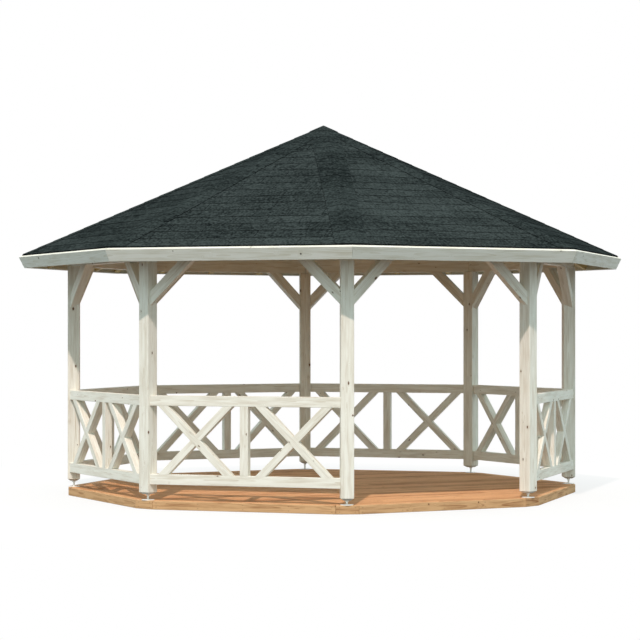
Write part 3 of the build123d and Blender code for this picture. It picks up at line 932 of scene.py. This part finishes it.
EXPOSURE = 0.1695
TAB = 0.333
SLOT = 0.004
LAP = 0.03
FIRST_COURSE = 0.047
SHINGLE_TOP = 0.01
SHINGLE_STEP = 0.0042  # how far a tab's lower edge stands over the next tab's
STARTER_LOW = 0.036
STARTER_TOP = 0.0085
HIP_GAP = 0.001  # from a tab to the hip
UNDERLAY_GAP = 0.002  # from the felt and the starter strip to the hip
COURSE_SHIFT = 0.1  # of a tab, farthest that a course lies from its place
UNEVEN = 0.0015  # farthest that a tab's edge lies from its course
SETTLED = 0.001  # farthest that a tab has sunk
BARE_BITUMEN_AND_SHADE = -4.0  # tone of a cut edge, which has no granules, darkened further as painted shade under the tab
COURSE_SHARE = 0.6  # of a tab's tone that its whole course has
FIGURE_SHIFT = 20.0  # each tab's specks come from another place, up to so far away
TONE_STRENGTH = 0.07
PAINTED_SIDE_SHADE = (-0.85, 0, 0, -1.0, 0, 0, 0, 0)  # painted shade: the first side and the fourth are a little darker


def shingle_material(name, dark, light):
    """Granule-covered bitumen: coarse specks and short level streaks over patches, toned tab by tab."""
    material, tree, shader = blank_material(name)
    vector = put(tree, "ShaderNodeAttribute", {}, attribute_name="grain").outputs["Vector"]
    tone = put(tree, "ShaderNodeAttribute", {}, attribute_name="tone").outputs["Fac"]
    specks = noise(tree, vector, (45, 40, 40), 4.0)
    streaks = noise(tree, vector, (7, 26, 26), 3.0)
    patches = noise(tree, put(tree, "ShaderNodeTexCoord", {}).outputs["Object"], (1.3, 1.3, 4), 3.0)
    shade = calc(tree, "ADD", specks, calc(tree, "MULTIPLY", streaks, 0.35))
    patched = calc(tree, "MULTIPLY", calc(tree, "SUBTRACT", patches, 0.5), 0.3)
    shade = calc(tree, "ADD", shade, patched)
    shade = calc(tree, "ADD", shade, calc(tree, "MULTIPLY", tone, TONE_STRENGTH))
    mask = ease(tree, shade, 0.33, 1.01)
    shader.inputs["Specular IOR Level"].default_value = 0.0
    tree.links.new(mix(tree, mask, dark, light), shader.inputs["Base Color"])
    tree.links.new(ease(tree, specks, 0.3, 0.7, 0.85, 1.0), shader.inputs["Roughness"])
    give_relief(tree, shader, specks, 0.8, 0.0015)
    return material


def wedges(place, low, high, left, right, tops, tone):
    """Thin closed tabs on a slope, from their lower and upper edges' places, ends and heights.

    Each has eight corners: lower or upper edge, left or right end, top or bottom face. Its tone fades
    to bare bitumen down its cut edges, and further as painted shade under the tab.
    """
    ups = np.stack([low, low, high, high] * 2, 1)
    alongs = np.stack([left[0], right[0], right[1], left[1]] * 2, 1)
    outs = np.stack([tops[0], tops[0], tops[1], tops[1]], 1)
    outs = np.concatenate([outs, outs - SHINGLE_STEP], 1)
    local = np.stack([alongs, ups, outs], -1)
    faces = np.array([(0, 1, 2, 3), (7, 6, 5, 4), (0, 4, 5, 1), (1, 5, 6, 2), (2, 6, 7, 3), (3, 7, 4, 0)])
    shift = chance.uniform(-FIGURE_SHIFT, FIGURE_SHIFT, (len(low), 1, 3))
    return {
        "points": placed(place, local),
        "faces": (np.arange(len(low))[:, None, None] * 8 + faces).reshape(-1, 4).tolist(),
        "grain": (local + shift).reshape(-1, 3),
        "tone": np.repeat(tone, 8) + np.tile([0] * 4 + [BARE_BITUMEN_AND_SHADE] * 4, len(low)),
    }


dark_granules = shingle_material("dark_granules", tint(14, 19, 20), tint(65, 73, 73))
courses = int((slope_length - FIRST_COURSE) / EXPOSURE)
shells = []
for number in range(1, SIDES + 1):
    place = slope_axes(180 + 45 * (number - 1))
    underlay = []
    for offset in (SHINGLE_TOP - 2 * SHINGLE_STEP, SHEATHING_TOP):
        wide = slope_half(LATH_WIDTH, offset) - UNDERLAY_GAP
        underlay.append(tapered(wide, LATH_WIDTH, UNDERLAY_GAP / 2, slope_length, offset))
    shells.append(timber(place, underlay, 0.0))
    starter = []
    for offset in (STARTER_TOP, 0.0):
        wide, narrow = slope_half(STARTER_LOW, offset), slope_half(EXPOSURE, offset)
        wide, narrow = wide - UNDERLAY_GAP, narrow - UNDERLAY_GAP
        starter.append(tapered(wide, STARTER_LOW, narrow, EXPOSURE, offset, offset / 2))
    shells.append(timber(place, starter, 0.0))
    # The starter strip is bare bitumen, darkened further as painted shade under the first course.
    shells[-1]["tone"][:] = BARE_BITUMEN_AND_SHADE
    course, tab = [grid.ravel() for grid in np.meshgrid(np.arange(courses), np.arange(-5, 5))]
    shift = chance.uniform(-COURSE_SHIFT, COURSE_SHIFT, courses)[course]
    start = (tab + 0.5 * (course % 2) + shift) * TAB
    low = FIRST_COURSE + course * EXPOSURE + chance.uniform(-UNEVEN, UNEVEN, len(course))
    high = np.minimum(low + EXPOSURE + LAP, slope_length)
    halves = [slope_half(up) - HIP_GAP for up in (low, high)]
    left = [np.clip(start + SLOT / 2, -half, half) for half in halves]
    right = [np.clip(start + TAB - SLOT / 2, -half, half) for half in halves]
    right = [np.maximum(end, start + SLOT / 8) for start, end in zip(left, right)]
    kept = right[0] - left[0] > SLOT
    under_next = SHINGLE_TOP - SHINGLE_STEP * (1 + LAP / EXPOSURE)
    tops = [SHINGLE_TOP - chance.uniform(0, SETTLED, len(low)), np.full(len(low), under_next)]
    # Each tab's tone starts from the painted shade of its side.
    tone = PAINTED_SIDE_SHADE[number - 1] + COURSE_SHARE * chance.uniform(-1, 1, courses)[course]
    tone = tone + (1 - COURSE_SHARE) * chance.uniform(-1, 1, len(low))
    shells.append(wedges(place, low[kept], high[kept], [edge[kept] for edge in left],
                         [edge[kept] for edge in right], [top[kept] for top in tops], tone[kept]))
shingle_tabs = assembled("shingle_tabs", shells, dark_granules)
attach(shingle_tabs, "root")
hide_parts("roof_shingles")


# ---- Hip and apex caps -----------------------------------------------------------------------------
# Single shingle tabs folded over the hips from the eave up, each lapping the one below, and an
# eight-sided cap folded over the apex. The lowest tab is cut in line with the eaves.

CAP_HALF = 0.148
CAP_EXPOSURE = 0.165
CAP_LAP = 0.04
CAP_TOP = 0.0135
CAP_THICKNESS = 0.003
CAP_TONE = 0.5  # how far the tabs differ in tone
APEX_REACH = 0.13
CROWN_TIP = 0.004  # where the folded apex cap ends, round its middle
SHADE_BEAD = 0.003  # width of the black adhesive beside the tabs, which also stands as painted shade along their edges
SHADE_BEAD_LAP = 0.001  # and of what lies under their edge
SHADE_BEAD_TOP = 0.0108
SHADE_BEAD_END = 2.5
splay = math.asin(math.sin(PITCH) * math.sin(HALF))  # slope of a tab's wings away from the hip
swing = math.atan(math.tan(HALF) * math.cos(PITCH))  # from the way up a slope to its hip, in the slope
hip_length = EAVE / math.cos(HALF) / math.cos(HIP_PITCH)
first_cap = FIRST_COURSE / math.cos(swing)
caps = int((hip_length - APEX_REACH - first_cap) / CAP_EXPOSURE) + 1
cap_shells = []
for number in range(SIDES):
    place = slope_axes(45 * number)
    for side in (-1, 1):
        # A dark strip along each side of a hip: adhesive, and painted shade at the tabs' edges.
        shade_beads = []
        inner, outer = CAP_HALF - SHADE_BEAD_LAP, CAP_HALF + SHADE_BEAD
        for offset in (SHADE_BEAD_TOP, 0.0):
            outline = []
            for up, wing in ((first_cap, inner), (SHADE_BEAD_END, inner), (SHADE_BEAD_END, outer), (first_cap, outer)):
                outline.append((side * (slope_half(up, offset) - wing / math.cos(swing)), up, offset))
            shade_beads.append(np.array(outline[::side]))
        cap_shells.append(timber(place, shade_beads, 0.0))
        cap_shells[-1]["tone"][:] = BARE_BITUMEN_AND_SHADE


def wing_widths(up):
    """Width of each tab's wings: the usual one, or less where the slope is narrower near the apex."""
    room = (hip_length - up) * math.cos(HIP_PITCH) * math.sin(HALF) / math.cos(swing)
    return np.minimum(CAP_HALF, room)


def folded_edge(up, edge_up, offset):
    """One edge of a hip's tabs, up the hip and out of it: left end, fold and right end of each.

    The ends lie a wing's width from the fold, down by the splay, and may be farther up the hip.
    """
    wing = wing_widths(up)
    aside = wing * math.cos(splay) + offset * math.sin(splay)
    rise = offset * math.cos(splay) - wing * math.sin(splay)
    fold = np.full(caps, offset / math.cos(splay))
    ends = [np.stack([side * aside, edge_up, rise], -1) for side in (-1, 1)]
    return np.stack([ends[0], np.stack([0 * up, up, fold], -1), ends[1]], 1)


low = first_cap + np.arange(caps) * CAP_EXPOSURE
high = np.minimum(low + CAP_EXPOSURE + CAP_LAP, hip_length)
low_ends = low.copy()
low_ends[0] += wing_widths(low)[0] * math.tan(swing)  # the lowest tab is cut in line with the eaves
upper_top = CAP_TOP - CAP_THICKNESS * (1 + CAP_LAP / CAP_EXPOSURE)
local = np.concatenate([
    folded_edge(low, low_ends, CAP_TOP), folded_edge(low, low_ends, CAP_TOP - CAP_THICKNESS),
    folded_edge(high, high, upper_top), folded_edge(high, high, upper_top - CAP_THICKNESS),
], 1)
cap_faces = np.array([  # three corners to an edge, in the order above
    (0, 1, 7, 6), (1, 2, 8, 7), (3, 9, 10, 4), (4, 10, 11, 5), (0, 3, 4, 1), (1, 4, 5, 2),
    (6, 7, 10, 9), (7, 8, 11, 10), (0, 6, 9, 3), (2, 5, 11, 8),
])
# The tabs' edges darken downwards: bare bitumen, and painted shade under the caps' edges.
underside_bitumen_and_shade = np.tile([0] * 3 + [BARE_BITUMEN_AND_SHADE / 2] * 3, 2)
for number in range(SIDES):
    angle = 22.5 + 45 * number
    along = UP * math.sin(HIP_PITCH) - outward(angle) * math.cos(HIP_PITCH)
    corner = outward(angle) * EAVE / math.cos(HALF) + UP * EAVE_HEIGHT
    out = UP * math.cos(HIP_PITCH) + outward(angle) * math.sin(HIP_PITCH)
    place = axes(corner, np.cross(along, out), out)
    cap_shells.append({
        "points": placed(place, local),
        "faces": (np.arange(caps)[:, None, None] * local.shape[1] + cap_faces).reshape(-1, 4).tolist(),
        "grain": (local + chance.uniform(-FIGURE_SHIFT, FIGURE_SHIFT, (caps, 1, 3))).reshape(-1, 3),
        "tone": (CAP_TONE * chance.uniform(-1, 1, (caps, 1)) + underside_bitumen_and_shade).ravel(),
    })
# Painted shade: the caps' granules are a little darker than those of the field.
shaded_cap_granules = shingle_material("shaded_cap_granules", tint(12, 17, 18), tint(60, 68, 68))
hip_tabs = assembled("hip_tabs", cap_shells, shaded_cap_granules)
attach(hip_tabs, "root")
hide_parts("hip_caps")

crown_reaches = np.array([CROWN_TIP, APEX_REACH, APEX_REACH, CROWN_TIP])
crown_offsets = np.array([CAP_THICKNESS, CAP_THICKNESS, 0, 0]) + CAP_TOP
crown_heights = roof_height(crown_reaches, crown_offsets)
crown = spun([0, 0, 0], UP, crown_reaches / math.cos(HALF), crown_heights, SIDES, start=HALF)
apex_crown = assembled("apex_crown", [crown], shaded_cap_granules)
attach(apex_crown, "root")
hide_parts("apex_cap")


# ---- Studio ----------------------------------------------------------------------------------------
# A plain pale floor that fades to white, a warm sun from high behind the camera, cooler light from all
# round, white behind everything, and a camera at a visitor's eye height some way off.

FLOOR_RADIUS = 400.0
FLOOR_SIDES = 64
FLOOR_DROP = 0.001  # below the underside of the deck
FLOOR_SEEN = (0.8, 0.8, 0.8, 1)
FLOOR_BOUNCE = (0.12, 0.12, 0.12, 1)  # what it throws back at the gazebo
FADE_START, FADE_END = 2.5, 6.0  # distances from the middle
FADE_LEAST = 0.75  # share of white at the gazebo, where the shadow still has to show
WHITE = (1, 1, 1, 1)
SUN_STRENGTH = 2.3
SUN_COLOUR = (1.0, 0.83, 0.76)
SUN_SIZE = 1.2  # across, in degrees, as the next two and the camera's turn are
SUN_TURN = -125.0
SUN_RISE = 51.2
SKY_LIGHT = (0.88, 1.04, 1.035, 1)
CAMERA_PLACE = (-10.069, -19.514, 1.655)
CAMERA_TURN = -27.2
CAMERA_LENS = 121.8
CAMERA_SHIFT = 0.0152


def seen_directly(tree):
    """1 for rays from the camera, from gloss and through glass, and 0 for light that falls on things."""
    rays = put(tree, "ShaderNodeLightPath", {}).outputs
    direct = calc(tree, "ADD", rays["Is Camera Ray"], rays["Is Glossy Ray"])
    return calc(tree, "ADD", direct, rays["Is Transmission Ray"], clamp=True)


ground = bpy.data.materials.new("pale_floor")
ground.use_nodes = True
tree = ground.node_tree
tree.nodes.clear()
place = put(tree, "ShaderNodeTexCoord", {}).outputs["Object"]
fade = ease(tree, vector_calc(tree, "LENGTH", place), FADE_START, FADE_END, FADE_LEAST, 1.0)
direct = seen_directly(tree)
mask = calc(tree, "MULTIPLY", fade, direct)
pale = mix(tree, direct, FLOOR_BOUNCE, FLOOR_SEEN)
plain = put(tree, "ShaderNodeBsdfDiffuse", {"Color": pale}).outputs[0]
white = put(tree, "ShaderNodeEmission", {"Color": WHITE, "Strength": 1.0}).outputs[0]
blend = put(tree, "ShaderNodeMixShader", {0: mask, 1: plain, 2: white}).outputs[0]
put(tree, "ShaderNodeOutputMaterial", {"Surface": blend})
angle = np.arange(FLOOR_SIDES) * 2 * math.pi / FLOOR_SIDES
disc = np.stack([np.cos(angle), np.sin(angle), 0 * angle], 1) * FLOOR_RADIUS
mesh = bpy.data.meshes.new("floor")
mesh.from_pydata((disc - UP * FLOOR_DROP).tolist(), [], [list(range(FLOOR_SIDES))])
mesh.materials.append(ground)
floor = bpy.data.objects.new("floor", mesh)
bpy.context.collection.objects.link(floor)

world = bpy.data.worlds.new("surroundings")
bpy.context.scene.world = world
world.use_nodes = True
tree = world.node_tree
sky = mix(tree, seen_directly(tree), SKY_LIGHT, WHITE)
tree.links.new(sky, tree.nodes["Background"].inputs["Color"])

sun = bpy.data.objects.new("sun", bpy.data.lights.new("sun", "SUN"))
sun.data.energy = SUN_STRENGTH
sun.data.color = SUN_COLOUR
sun.data.angle = math.radians(SUN_SIZE)
sun.rotation_euler = (0, math.radians(90 - SUN_RISE), math.radians(SUN_TURN))
bpy.context.collection.objects.link(sun)

camera = bpy.data.objects.new("camera", bpy.data.cameras.new("camera"))
camera.location = CAMERA_PLACE
camera.rotation_euler = (math.radians(90), 0, math.radians(CAMERA_TURN))
camera.data.lens = CAMERA_LENS
camera.data.shift_y = CAMERA_SHIFT
camera.data.clip_end = 2.5 * FLOOR_RADIUS
bpy.context.collection.objects.link(camera)
bpy.context.scene.camera = camera
bpy.context.scene.view_settings.view_transform = "Standard"
